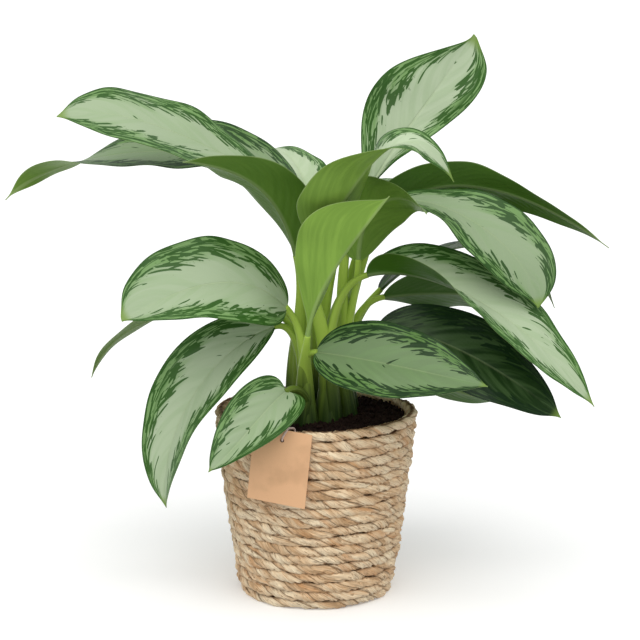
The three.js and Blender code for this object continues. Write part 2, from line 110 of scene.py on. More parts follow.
# The twine's route, as right, up and out from the tag's hole.
TWINE_ROUTE = (
    (0, 0, -0.0005),
    (0.0002, 0.0005, 0.0014),
    (0.0016, 0.004, 0.0029),
    (0.0046, 0.009, 0.0027),
    (0.0066, 0.012, 0.0006),
    (0.0076, 0.011, -0.0045),
    (0.0082, 0.0096, -0.0093),
    (0.0084, 0.007, -0.0117),
    (0.0085, 0.0028, -0.0123),
)

# Where each shoot's cane stands, from the basket's axis.
SHOOTS = {
    1: (-0.011, -0.027),
    2: (-0.020, 0.002),
    3: (0.012, -0.017),
    4: (0.027, 0.004),
    5: (0.003, 0.026),
    6: (0.029, 0.035),
}


class Leaf(NamedTuple):
    """A leaf. A pair is of its left and right half, and angles are in degrees.

    shoot, leaves: the shoot that carries it, and how high above the soil its petiole leaves the cane
    halves: widths of the two halves
    midrib: its midrib through four even steps, from the base to the tip
    silver, fresh: how silver its upper side is and how fresh its lower side is, from 0 to 1, each partly the
    leaf's age and partly painted light: lower where the leaf hangs in shade, and fresh higher where light
    shines through it
    taper: the powers by which its left half widens from the base and narrows to the tip, then the right's
    roll: turn about the midrib at its base, middle and tip
    lift: of the left half at base and tip, then of the right half at base and tip
    curl: the extra bend across each half
    lobe, wave: sweep of the basal lobes, and height of the margin's waves
    """

    shoot: int
    leaves: float
    halves: tuple
    midrib: tuple
    silver: float
    fresh: float
    taper: tuple = (0.6, 0.85, 0.6, 0.85)
    roll: tuple = (0, 0, 0)
    lift: tuple = (15, 5, 15, 5)
    curl: tuple = (0, 0)
    lobe: float = 0.004
    wave: float = 0.002


LEAVES = {
    "left_top": Leaf(
        shoot=2, leaves=0.03, halves=(0.049, 0.049), silver=0.68, fresh=0.3,
        taper=(1.2, 0.85, 1.3, 0.85), roll=(-45, -38, -38), lift=(15, 8, 5, 0), curl=(10, -10),
        midrib=((-0.018, 0.008, 0.399), (-0.089, -0.018, 0.437),
                (-0.165, -0.038, 0.471), (-0.242, -0.05, 0.476)),
    ),
    "left_far": Leaf(
        shoot=2, leaves=0.02, halves=(0.045, 0.045), silver=0.5, fresh=0.6, taper=(2.2, 1.6, 0.9, 1.5),
        roll=(20, -32, 95), lift=(60, 0, 5, 0),
        midrib=((-0.013, 0.028, 0.394), (-0.092, 0.045, 0.428),
                (-0.212, 0.048, 0.426), (-0.307, 0.05, 0.383)),
    ),
    "left_under": Leaf(
        shoot=2, leaves=0.012, halves=(0.036, 0.036), silver=0.8, fresh=0.3, taper=(0.5, 0.9, 0.8, 0.9),
        roll=(30, 40, 40), lift=(15, 5, 55, 38), lobe=0.002,
        midrib=((-0.019, -0.02, 0.338), (-0.038, -0.045, 0.39),
                (-0.07, -0.08, 0.424), (-0.121, -0.11, 0.441)),
    ),
    "back_left": Leaf(
        shoot=5, leaves=0.03, halves=(0.029, 0.029), silver=0.95, fresh=0.3, lobe=0.006,
        midrib=((-0.006, 0.055, 0.372), (-0.014, 0.085, 0.402),
                (-0.032, 0.125, 0.42), (-0.06, 0.165, 0.417)),
    ),
    "top": Leaf(
        shoot=4, leaves=0.034, halves=(0.054, 0.036), silver=1.0, fresh=0.3,
        taper=(1.6, 1.35, 2.0, 0.55), roll=(80, 80, 80), lift=(0, 5, 10, 5), curl=(10, 10), lobe=0.002,
        wave=0.004,
        midrib=((0.043, 0.018, 0.381), (0.077, 0.034, 0.437), (0.113, 0.045, 0.486), (0.154, 0.048, 0.546)),
    ),
    "crown_front": Leaf(
        shoot=3, leaves=0.03, halves=(0.043, 0.043), silver=1.0, fresh=1.0,
        taper=(0.45, 1.0, 0.6, 1.15), roll=(-90, -15, 60), lift=(60, 5, 30, 0), lobe=0.003,
        midrib=((-0.002, -0.048, 0.349), (0.033, -0.078, 0.411),
                (0.077, -0.078, 0.454), (0.129, -0.062, 0.416)),
    ),
    "right_dark": Leaf(
        shoot=4, leaves=0.03, halves=(0.035, 0.035), silver=0.5, fresh=0.7, roll=(-30, -40, -30),
        lobe=0.003,
        midrib=((0.041, 0.002, 0.33), (0.054, -0.008, 0.38), (0.08, -0.036, 0.397), (0.103, -0.076, 0.388)),
    ),
    "right_silver": Leaf(
        shoot=4, leaves=0.034, halves=(0.04, 0.04), silver=0.57, fresh=0.3, taper=(1.5, 0.8, 1.6, 1.0),
        roll=(5, 30, 75), lift=(15, 5, 15, 15),
        midrib=((0.057, 0.014, 0.363), (0.104, 0.004, 0.388),
                (0.175, -0.016, 0.354), (0.213, -0.032, 0.29)),
    ),
    "right_under": Leaf(
        shoot=6, leaves=0.034, halves=(0.035, 0.035), silver=0.6, fresh=0.12,
        taper=(0.7, 1.2, 0.5, 1.5), roll=(-50, -40, -30),
        midrib=((0.055, 0.035, 0.357), (0.128, 0.055, 0.396), (0.214, 0.065, 0.379), (0.293, 0.06, 0.333)),
    ),
    "right_big": Leaf(
        shoot=3, leaves=0.06, halves=(0.046, 0.046), silver=0.78, fresh=0.04,
        taper=(0.75, 1.0, 0.75, 0.95), roll=(50, 42, 45), lift=(0, 0, 125, 15), lobe=0.006,
        midrib=((0.049, -0.008, 0.318), (0.119, -0.027, 0.314),
                (0.197, -0.04, 0.27), (0.268, -0.045, 0.196)),
    ),
    "right_low_back": Leaf(
        shoot=6, leaves=0.026, halves=(0.04, 0.04), silver=0.4, fresh=0.05, roll=(-35, -38, -30),
        midrib=((0.066, 0.03, 0.289), (0.116, 0.045, 0.29), (0.177, 0.06, 0.281), (0.235, 0.07, 0.252)),
    ),
    "right_back": Leaf(
        shoot=6, leaves=0.032, halves=(0.04, 0.04), silver=0.15, fresh=0.1, roll=(-10, -10, 0),
        midrib=((0.064, 0.06, 0.29), (0.126, 0.085, 0.325), (0.193, 0.1, 0.322), (0.244, 0.095, 0.265)),
    ),
    "right_low": Leaf(
        shoot=4, leaves=0.014, halves=(0.039, 0.039), silver=0.05, fresh=0.0,
        taper=(0.8, 0.9, 0.8, 0.85), roll=(50, 55, 50), lift=(10, 5, 10, 5), lobe=0.006,
        midrib=((0.06, -0.015, 0.27), (0.116, -0.022, 0.257),
                (0.178, -0.028, 0.226), (0.238, -0.03, 0.181)),
    ),
    "front_right": Leaf(
        shoot=1, leaves=0.016, halves=(0.042, 0.042), silver=0.4, fresh=0.2,
        taper=(0.55, 0.95, 0.6, 1.0), roll=(52, 53, 42), lift=(10, 5, 32, 22), curl=(-10, -10),
        wave=0.001,
        midrib=((0.0, -0.055, 0.252), (0.053, -0.085, 0.25), (0.106, -0.11, 0.244), (0.158, -0.13, 0.236)),
    ),
    "right_low_under": Leaf(
        shoot=6, leaves=0.016, halves=(0.033, 0.033), silver=0.3, fresh=0.0, roll=(-30, -35, -20),
        lift=(10, 5, 10, 5),
        midrib=((0.052, 0.03, 0.225), (0.101, 0.048, 0.205), (0.151, 0.062, 0.183), (0.203, 0.072, 0.174)),
    ),
    "left_mid": Leaf(
        shoot=1, leaves=0.024, halves=(0.049, 0.049), silver=0.71, fresh=0.3,
        taper=(0.55, 0.95, 0.55, 0.5), roll=(-55, -55, -50), lift=(14, 28, 5, 5), curl=(-10, -10),
        lobe=0.012, wave=0.001,
        midrib=((-0.028, -0.03, 0.29), (-0.074, -0.06, 0.32),
                (-0.127, -0.08, 0.315), (-0.181, -0.09, 0.289)),
    ),
    "left_mid_under": Leaf(
        shoot=2, leaves=0.014, halves=(0.03, 0.03), silver=0.3, fresh=0.5, roll=(12, 16, 20),
        lobe=0.003, wave=0.001,
        midrib=((-0.032, 0.0, 0.274), (-0.082, 0.008, 0.282),
                (-0.163, 0.014, 0.269), (-0.222, 0.015, 0.211)),
    ),
    "left_low": Leaf(
        shoot=1, leaves=0.014, halves=(0.042, 0.042), silver=0.86, fresh=0.2,
        taper=(0.8, 0.6, 0.7, 0.85), roll=(-50, -55, -50), lift=(5, 50, 10, 5), lobe=0.008,
        midrib=((-0.039, -0.015, 0.269), (-0.095, -0.028, 0.234),
                (-0.136, -0.034, 0.169), (-0.146, -0.038, 0.093)),
    ),
    "left_small": Leaf(
        shoot=1, leaves=0.006, halves=(0.032, 0.032), silver=0.64, fresh=0.2,
        taper=(0.45, 1.15, 0.45, 0.85), roll=(-55, -52, -45), lift=(35, 35, 5, 5), lobe=0.014,
        wave=0.001,
        midrib=((-0.028, -0.064, 0.216), (-0.051, -0.092, 0.199),
                (-0.075, -0.112, 0.175), (-0.1, -0.124, 0.153)),
    ),
    "front_young": Leaf(
        shoot=1, leaves=0.024, halves=(0.049, 0.049), silver=1.0, fresh=1.0,
        taper=(1.5, 0.95, 2.1, 1.45), roll=(-90, -80, -70), lift=(85, 88, 10, 5), lobe=0.002,
        wave=0.001,
        midrib=((-0.008, -0.062, 0.268), (0.007, -0.078, 0.317),
                (0.035, -0.088, 0.363), (0.068, -0.084, 0.406)),
    ),
    "back_up": Leaf(
        shoot=5, leaves=0.034, halves=(0.04, 0.04), silver=0.9, fresh=0.3, lobe=0.006,
        midrib=((0.029, 0.07, 0.365), (0.037, 0.12, 0.383), (0.048, 0.17, 0.387), (0.06, 0.22, 0.364)),
    ),
    "back_low_left": Leaf(
        shoot=5, leaves=0.02, halves=(0.036, 0.032), silver=0.6, fresh=0.1,
        taper=(0.9, 0.85, 0.9, 0.85), lobe=0.006,
        midrib=((-0.052, 0.075, 0.284), (-0.088, 0.118, 0.298),
                (-0.128, 0.166, 0.292), (-0.165, 0.212, 0.262)),
    ),
    "back_low_right": Leaf(
        shoot=6, leaves=0.02, halves=(0.042, 0.042), silver=0.5, fresh=0.1,
        taper=(0.9, 0.85, 0.8, 0.85), lobe=0.006,
        midrib=((0.04, 0.06, 0.238), (0.076, 0.108, 0.228), (0.114, 0.156, 0.202), (0.15, 0.2, 0.16)),
    ),
    "back_mid": Leaf(
        shoot=5, leaves=0.026, halves=(0.04, 0.04), silver=0.8, fresh=0.2, lobe=0.006,
        midrib=((0.009, 0.065, 0.346), (0.002, 0.12, 0.368), (-0.008, 0.175, 0.37), (-0.017, 0.225, 0.352)),
    ),
}


# ---- Surfaces -----------------------------------------------------------------------------------


def normalised(vectors):
    """Each vector divided by its length."""
    return vectors / np.linalg.norm(vectors, axis=-1, keepdims=True)


def mix(a, b, t):
    """a at t = 0, b at t = 1."""
    return a + (b - a) * t


def ripple(points, wavelength, seed, waves=9):
    """Smooth noise of about -1 to 1: the sum of plane sine waves whose directions, lengths and phases are
    drawn at random around one wavelength."""
    draw = np.random.default_rng(seed)
    directions = normalised(draw.normal(size=(waves, points.shape[-1])))
    lengths = wavelength * draw.uniform(0.7, 1.5, waves)
    phases = draw.uniform(0, TURN, waves)
    total = np.sin(points @ (directions * (TURN / lengths)[:, None]).T + phases).sum(-1)
    return total / math.sqrt(waves)


class Surface:
    """Grids of points that together make one piece. Every grid is a closed skin once its doubled points are
    merged: a tube's first and last columns lie on each other, and its first and last rows are points."""

    def __init__(self):
        self.points = []
        self.quads = []
        self.slots = []
        self.maps = {}
        self.count = 0

    def add(self, points, slots=0, **maps):
        """Adds a grid of points, (..., rows, columns, 3), or a stack of them, with a pair of values for every
        point in each map. The quads face out: the volume that they enclose, the sum of their corners' triple
        products, comes out positive."""
        rows, columns = points.shape[-3:-1]
        points = points.reshape(-1, rows * columns, 3)
        index = np.arange(rows * columns).reshape(rows, columns)
        quads = np.stack([index[:-1, :-1], index[:-1, 1:], index[1:, 1:], index[1:, :-1]], -1).reshape(-1, 4)
        a, b, c, d = (points[0, quads[:, i]] - points[0].mean(0) for i in range(4))
        if np.einsum("ij,ij->", a, np.cross(b, c) + np.cross(c, d)) < 0:
            quads = quads[:, ::-1]
        starts = self.count + rows * columns * np.arange(len(points))
        self.quads.append((quads + starts[:, None, None]).reshape(-1, 4))
        self.points.append(points.reshape(-1, 3))
        self.slots.append(np.broadcast_to(slots, (len(points), len(quads))).ravel())
        for name, values in maps.items():
            values = np.broadcast_to(values, (len(points), rows, columns, 2)).reshape(-1, 2)
            self.maps.setdefault(name, []).append(values)
        self.count += len(points) * rows * columns

    def make(self, name, slot, materials, *nodes):
        """The piece as a Blender object that stands for the CAD nodes, with its doubled points merged."""
        mesh = bpy.data.meshes.new(name)
        quads = np.concatenate(self.quads)
        mesh.from_pydata(np.concatenate(self.points).tolist(), [], quads.tolist())
        mesh.polygons.foreach_set("material_index", np.concatenate(self.slots).astype(np.int32))
        for layer, values in self.maps.items():
            corners = np.concatenate(values)[quads.ravel()]
            mesh.uv_layers.new(name=layer).data.foreach_set("uv", corners.ravel().astype(np.float32))
        welded = bmesh.new()
        welded.from_mesh(mesh)
        bmesh.ops.remove_doubles(welded, verts=welded.verts, dist=1e-6)
        welded.to_mesh(mesh)
        welded.free()
        mesh.shade_smooth()
        for material in materials:
            mesh.materials.append(material)
        piece = bpy.data.objects.new(name, mesh)
        bpy.context.scene.collection.objects.link(piece)
        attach(piece, "root")
        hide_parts(*nodes)
        return piece


def capped(rings):
    """Rings of points with each end drawn in to the middle of its ring, which closes it with a flat cap."""
    first, last = (rings[..., i, :, :].mean(-2, keepdims=True) for i in (0, -1))
    ends = [np.broadcast_to(end, rings[..., 0, :, :].shape)[..., None, :, :] for end in (first, last)]
    return np.concatenate([ends[0], rings, ends[1]], axis=-3)


def repeated_ends(values):
    """The values of a map's first and last rows once more, for the caps."""
    return np.concatenate([values[..., :1, :, :], values, values[..., -1:, :, :]], axis=-3)


def tube(centres, across, normal, wide, deep, sides):
    """Rings round a route: each is its centre, plus its wide radius times the cosine along `across`, plus its
    deep radius times the sine along `normal`. Radii may vary with the angle too."""
    angle = np.linspace(0, TURN, sides + 1)
    ring = (wide * np.cos(angle))[..., None] * across[:, None]
    ring = ring + (deep * np.sin(angle))[..., None] * normal[:, None]
    return centres[:, None] + ring


def bezier(controls, t):
    """Points of the cubic with these four control points, and its unit tangents."""
    a, b, c, d = np.array(controls, float)
    t = t[:, None]
    point = a * (1 - t) ** 3 + 3 * b * t * (1 - t) ** 2 + 3 * c * t * t * (1 - t) + d * t**3
    slope = (b - a) * (1 - t) ** 2 + 2 * (c - b) * t * (1 - t) + (d - c) * t * t
    return point, normalised(slope)


# ---- Shader maths -------------------------------------------------------------------------------


class Link:
    """A node's output. Arithmetic on it adds Math nodes."""

    def __init__(self, graph, socket):
        self.graph = graph
        self.socket = socket

    def math(self, operation, *values):
        return self.graph.node("Math", dict(enumerate(values)), operation=operation)

    def __add__(self, other):
        return self.math("ADD", self, other)

    def __radd__(self, other):
        return self.math("ADD", other, self)

    def __sub__(self, other):
        return self.math("SUBTRACT", self, other)

    def __rsub__(self, other):
        return self.math("SUBTRACT", other, self)

    def __mul__(self, other):
        return self.math("MULTIPLY", self, other)

    def __rmul__(self, other):
        return self.math("MULTIPLY", other, self)

    def __abs__(self):
        return self.math("ABSOLUTE", self)

    def step(self, low, high, to_low=0.0, to_high=1.0):
        """to_low below low and to_high above high, with a smooth ramp between them."""
        inputs = {"Value": self, "From Min": low, "From Max": high, "To Min": to_low, "To Max": to_high}
        return self.graph.node("MapRange", inputs, interpolation_type="SMOOTHSTEP")


class Graph:
    """A material's node tree."""

    def __init__(self, name):
        self.material = bpy.data.materials.new(name)
        self.material.use_nodes = True
        self.tree = self.material.node_tree
        self.tree.nodes.clear()

    def node(self, kind, inputs=None, output=0, **settings):
        """Adds a node: its settings first, then the values or links of its sockets."""
        made = self.tree.nodes.new("ShaderNode" + kind)
        for key, value in settings.items():
            setattr(made, key, value)
        for key, value in (inputs or {}).items():
            if isinstance(value, Link):
                self.tree.links.new(value.socket, made.inputs[key])
            else:
                made.inputs[key].default_value = value
        return Link(self, made.outputs[output]) if made.outputs else None

    def map(self, name):
        """The two values of one of the piece's own maps."""
        parts = self.node("UVMap", uv_map=name)
        split = self.node("SeparateXYZ", {0: parts}).socket.node
        return Link(self, split.outputs[0]), Link(self, split.outputs[1])

    def vector(self, x=0.0, y=0.0, z=0.0):
        return self.node("CombineXYZ", {0: x, 1: y, 2: z})

    def noise(self, place, scale=1.0, detail=2.0, roughness=0.5):
        inputs = {"Vector": place, "Scale": scale, "Detail": detail, "Roughness": roughness}
        return self.node("TexNoise", inputs)

    def mix(self, factor, a, b):
        """Colour a at factor 0 and colour b at factor 1."""
        return self.node("Mix", {0: factor, 6: a, 7: b}, output=2, data_type="RGBA")

    def bump(self, height, distance, strength=1.0):
        return self.node("Bump", {"Height": height, "Distance": distance, "Strength": strength})

    def finish(self, **surface):
        """Ends the tree in a Principled surface, whose sockets are named with underscores for spaces."""
        inputs = {key.replace("_", " "): value for key, value in surface.items()}
        self.node("OutputMaterial", {"Surface": self.node("BsdfPrincipled", inputs)})
        return self.material


# ---- Settings -----------------------------------------------------------------------------------


def colour(name, description, value):
    return FloatVectorProperty(
        name=name, description=description, subtype="COLOR", size=4, min=0, max=1, default=(*value, 1.0)
    )


def length(name, description, value):
    return FloatProperty(name=name, description=description, unit="LENGTH", precision=5, min=0, default=value)


def angle(name, description, degrees):
    return FloatProperty(name=name, description=description, subtype="ANGLE", default=math.radians(degrees))


def strength(name, description, value):
    return FloatProperty(name=name, description=description, min=0, default=value)


def whole(name, description, value):
    return IntProperty(name=name, description=description, min=1, default=value)


class BasketSettings(bpy.types.PropertyGroup):
    courses: whole("Rope Courses", "Turns of rope from the floor to the rim", 19)
    floor_courses: whole("Floor Courses", "Turns of rope in the floor", 7)
    strands: whole("Strands", "Strands that are twisted into the rope", 2)
    lay: length("Lay", "Length of rope in which its strands make one full turn", 0.054)
    strand_radius: length("Strand Radius", "Radius of one strand", 0.0045)
    strand_offset: length("Strand Offset", "From the rope's centre to the centre of a strand", 0.0010)
    fibre: length("Fibre", "Height of the fibres on the strands", 0.00032)
    fray: length("Fray", "Unevenness of the strands' outline", 0.00055)
    straw: colour("Straw", "The rope's main colour", (0.78, 0.515, 0.285))
    bleached: colour("Bleached", "The palest strands", (0.98, 0.81, 0.56))
    dull: colour("Dull", "The dullest strands", (0.50, 0.31, 0.16))
    rust: colour("Rust", "Warm patches on the strands", (0.62, 0.29, 0.10))
    # Brown is also the brown edge of the painted shade in the creases.
    brown: colour("Brown", "Spots and dark fibres", (0.30, 0.150, 0.060))
    # Painted shade: the dark in the creases between strands and between courses.
    crease_shadow: colour("Crease", "The dark between the strands", (0.13, 0.058, 0.024))


class LeafSettings(bpy.types.PropertyGroup):
    thickness: length("Thickness", "Of the blade between its veins", 0.00055)
    rib_depth: length("Midrib Depth", "How far the midrib stands out below the blade's base", 0.0022)
    quilt: length("Quilt", "Height of the swelling between side veins", 0.00036)
    vein_spacing: length("Vein Spacing", "Between two side veins, along the midrib", 0.015)
    buckle: length("Buckle", "Height of the blade's uneven folds", 0.0017)
    silver: colour("Silver", "Middle of a silver leaf", (0.50, 0.605, 0.405))
    pale: colour("Pale Green", "Outer zone of a silver leaf", (0.210, 0.370, 0.130))
    # Old leaf and dark dashes: an old leaf's own deep green, made darker still as painted shade for the low
    # leaves in the shade of others.
    old: colour("Old Leaf", "Upper side of an old leaf", (0.010, 0.036, 0.005))
    dark: colour("Dark Green", "Dashes on a dark leaf", (0.004, 0.024, 0.004))
    fresh: colour("Fresh Green", "Dashes on a silver leaf", (0.026, 0.100, 0.008))
    rib: colour("Midrib", "Midrib of the upper side", (0.42, 0.52, 0.25))
    tip: colour("Tip", "Tip of the upper side", (0.20, 0.32, 0.06))
    under: colour("Underside", "Lower side of a grown leaf", (0.040, 0.118, 0.008))
    # Young green, brightened as painted light shining through thin young leaves.
    young: colour("Young Underside", "Lower side of a young leaf", (0.245, 0.415, 0.065))


class StalkSettings(bpy.types.PropertyGroup):
    sheath_offset: length("Sheath Offset", "From the cane's axis to a sheath's at the soil", 0.0055)
    sheath_swell: strength("Sheath Swell", "Extra size of a sheath at the soil", 0.45)
    # Deep green at the foot: partly the sheaths' own darker base, partly painted shade under the leaves.
    deep: colour("Deep Green", "Foot of the sheaths", (0.011, 0.034, 0.005))
    bright: colour("Bright Green", "Young stalks", (0.40, 0.58, 0.085))
    edge: colour("Sheath Edge", "The thin edges of the sheaths", (0.45, 0.54, 0.20))


class SoilSettings(bpy.types.PropertyGroup):
    clod: length("Clod Size", "Width of the lumps of the surface", 0.011)
    relief: length("Relief", "Height of those lumps", 0.0018)
    crumbs: whole("Crumbs", "Loose crumbs on the surface", 1800)
    earth: colour("Earth", "Damp potting soil", (0.018, 0.008, 0.006))
    fibre: colour("Fibre", "Bits of bark and fibre in it", (0.075, 0.035, 0.022))


class TagSettings(bpy.types.PropertyGroup):
    card: colour("Card", "Uncoated brown card", (0.84, 0.50, 0.275))
    card_fibre: colour("Card Fibre", "Darker fibres in the card", (0.46, 0.26, 0.135))
    twine: colour("Twine", "Pale twisted twine", (0.88, 0.70, 0.63))
    twine_radius: length("Twine Radius", "Radius of the twine", 0.0011)


class StageSettings(bpy.types.PropertyGroup):
    floor: colour("Floor", "The plain pale floor", (0.93, 0.935, 0.93))
    glow: strength("Glow", "Light that the floor gives off", 0.175)
    sky: strength("Sky", "Strength of the light from all round", 0.62)
    sky_tint: colour("Sky Tint", "Colour of the light from all round", (0.97, 0.985, 1.0))
    key: strength("Key", "Strength of the soft key light", 1.95)
    key_tint: colour("Key Tint", "Colour of the key light", (1.0, 0.985, 0.96))
    key_spread: angle("Key Spread", "How wide the key light is, seen from the plant", 75)
    key_from: FloatVectorProperty(
        name="Key From",
        description="Where the key light comes from",
        subtype="DIRECTION",
        default=(-0.02, -0.62, 1.0),
    )
    camera_distance: length("Camera Distance", "In front of the basket's axis", 2.0)
    camera_height: length("Camera Height", "Above the floor", 0.68)
    camera_pitch: angle("Camera Pitch", "Downwards", 11.53)
    camera_yaw: angle("Camera Yaw", "To the right", 0.1146)
    camera_lens: FloatProperty(name="Lens", description="Focal length", unit="CAMERA", default=117.56)


# ---- Basket -------------------------------------------------------------------------------------


def basket_radius(z):
    """Outside radius at a height: a straight taper from base to rim, plus a sine that bellies it out."""
    t = z / BASKET_HEIGHT
    return mix(BASE_RADIUS, RIM_RADIUS, t) + BASKET_BELLY * np.sin(math.pi * t)


def rope_ring(settings, radius, height, squash, course, rows, sides=26):
    """A ring of twisted rope. Round each strand's centre, which turns about the rope's own centre, lies a
    circle; the rope's outline is the union of these circles: offset times cos(a) plus the root of strand
    radius squared less (offset times sin(a)) squared, where a is the angle to the nearest strand. Its
    points lie closest together on the side that shows. The fibres are noise stretched along the strands,
    and the fray is noise stretched round them. Nothing of the ring goes below the floor."""
    draw = np.random.default_rng(100 + course)
    along = np.linspace(0, TURN, rows + 1)[:, None]
    angle = np.linspace(-math.pi, math.pi, sides + 1)[None, :]
    angle = angle - 0.55 * np.sin(angle)
    lay_turns = TURN * radius / settings.lay
    turns = round(lay_turns * settings.strands * draw.uniform(0.85, 1.2)) / settings.strands
    phase = draw.uniform(0, TURN, 9)
    swings = ((2, 0.6), (5, 0.5), (9, 0.35), (14, 0.2))
    swing = sum(wide * np.sin(times * along + phase[i]) for i, (times, wide) in enumerate(swings))
    twist = phase[8] - turns * along + swing
    share = TURN / settings.strands
    from_first = angle - twist
    nearest = np.mod(from_first + share / 2, share) - share / 2
    strand = np.mod(np.round((from_first - nearest) / share), settings.strands)
    swell = 1 + 0.06 * np.sin(7 * along + phase[4] + 2 * strand)
    swell = swell + 0.05 * np.sin(17 * along + phase[5] - strand)
    size = settings.strand_radius * swell
    offset = settings.strand_offset * (1 + 0.3 * np.sin(11 * along + phase[6]))
    reach = offset * np.cos(nearest) + np.sqrt(size**2 - (offset * np.sin(nearest)) ** 2)
    circle = np.stack([np.cos(along) + 0 * nearest, np.sin(along) + 0 * nearest], -1) * radius / FIBRE_LENGTH
    round_it = nearest * settings.strand_radius / FIBRE_WIDTH + 5 * strand
    fibres = np.concatenate([circle, round_it[..., None]], -1)
    fray = ripple(fibres * (3.5, 3.5, 0.5), 1, 300 + course)
    reach = reach + settings.fibre * ripple(fibres, 1, course) + settings.fray * fray
    wander = 0.0005 * np.sin(3 * along + phase[1]) + 0.0004 * np.sin(8 * along + phase[3])
    out = radius + wander + reach * np.cos(angle)
    sag = 0.0005 * np.sin(2 * along + phase[7]) + 0.0004 * np.sin(6 * along + phase[2])
    z = np.maximum(0, height + sag + squash * reach * np.sin(angle))
    points = np.stack([out * np.cos(along), out * np.sin(along), np.broadcast_to(z, out.shape)], -1)
    # How far into the crease between two strands a point lies, and next, how near the rope's top or bottom
    # where it meets the next course; the rope's material paints shade there.
    crease_shadow = 0.92 * (np.abs(nearest) / (share / 2)) ** 4
    depth = np.maximum(crease_shadow, np.abs(np.sin(angle)) ** 3)
    lay = np.stack([along * radius + 0 * angle, nearest * settings.strand_radius], -1)
    tint = np.stack([strand + settings.strands * course + 0 * out, depth + 0 * out], -1)
    return points, lay, tint


class PLANT_OT_basket(bpy.types.Operator):
    """Coils the basket out of twisted rope: its wall, in four pieces, and its floor"""

    bl_idname = "plant.basket"
    bl_label = "Rope Basket"

    def execute(self, context):
        settings = context.scene.plant_basket
        material = rope_material(settings)
        pitch = BASKET_HEIGHT / settings.courses
        outer = settings.strand_radius + settings.strand_offset
        walls = [Surface() for _ in range(4)]
        for course in range(settings.courses):
            height = (course + 0.5) * pitch
            ends = course in (0, settings.courses - 1)
            squash = 0.5 * pitch / (outer if ends else outer - COURSE_PRESS)
            radius = basket_radius(height) - outer - (FOOT_INSET if course == 0 else 0)
            ring, lay, tint = rope_ring(settings, radius, height, squash, course, 500)
            walls[course * len(walls) // settings.courses].add(ring, lay=lay, tint=tint)
        floor = Surface()
        for turn in range(settings.floor_courses):
            radius = (turn + 0.5) * (BASE_RADIUS - 2 * outer) / settings.floor_courses
            squash = 0.5 * BASKET_FLOOR / outer
            rows = max(24, round(radius / BASE_RADIUS * 300))
            ring, lay, tint = rope_ring(settings, radius, BASKET_FLOOR / 2, squash, 50 + turn, rows)
            floor.add(ring, lay=lay, tint=tint)
        for number, wall in enumerate(walls, 1):
            wall.make(f"rope_wall_{number}", "seagrass", [material], "basket")
        floor.make("rope_floor", "seagrass", [material], "basket")
        return {"FINISHED"}


def rope_material(settings):
    """Straw strands, each with its own tone, streaked along their lay, blotched with rust, specked and split
    in brown, with painted shade, brown and then dark, in the creases between strands and courses."""
    graph = Graph("Seagrass Rope")
    along, around = graph.map("lay")
    strand, depth = graph.map("tint")
    shade = graph.noise(graph.vector(along * 30, strand * 3.7, around * 60), detail=2)
    streak = graph.noise(graph.vector(along * 55, around * 1500, strand * 2.3), detail=3, roughness=0.7)
    rust = graph.noise(graph.vector(along * 14, around * 90, strand * 0.6), detail=3, roughness=0.6)
    spot = graph.noise(graph.vector(along * 150, around * 420, strand * 5.1), detail=2, roughness=0.6)
    split = graph.noise(graph.vector(along * 60 + around * 90, around * 640, strand * 7.7), detail=2)
    tone = shade * 0.9 + streak * 0.55
    base = graph.mix(tone.step(0.55, 0.88), settings.straw, settings.bleached)
    base = graph.mix(tone.step(0.70, 0.48) * 0.8, base, settings.dull)
    base = graph.mix(rust.step(0.54, 0.68) * 0.55, base, settings.rust)
    base = graph.mix(streak.step(0.42, 0.30) * 0.55, base, settings.brown)
    base = graph.mix(spot.step(0.59, 0.67) * 0.65, base, settings.brown)
    base = graph.mix(abs(split - 0.5).step(0.016, 0.002) * shade.step(0.5, 0.62) * 0.7, base, settings.brown)
    # Painted shade: brown and then dark in the creases between strands and where each course meets the next,
    # jagged by the streaks and spots.
    painted_shade = depth + (streak - 0.5) * 0.8 + (spot - 0.5) * 0.5
    base = graph.mix(painted_shade.step(0.50, 0.85) * 0.60, base, settings.brown)
    base = graph.mix(painted_shade.step(0.76, 0.98) * 0.9, base, settings.crease_shadow)
    bump = graph.bump(streak * 0.7 + abs(split - 0.5).step(0.0, 0.04) * 0.3, 0.0012, 0.8)
    return graph.finish(
        Base_Color=base, Roughness=streak.step(0.3, 0.7, 0.60, 0.85), Specular_IOR_Level=0.3, Normal=bump
    )


# ---- Soil ---------------------------------------------------------------------------------------


def soil_height(settings, flat):
    """Height of the soil's surface: two sizes of smooth lumps."""
    lumps = ripple(flat, settings.clod, 21) + 0.5 * ripple(flat, settings.clod * 0.4, 22)
    return SOIL_TOP + settings.relief * lumps


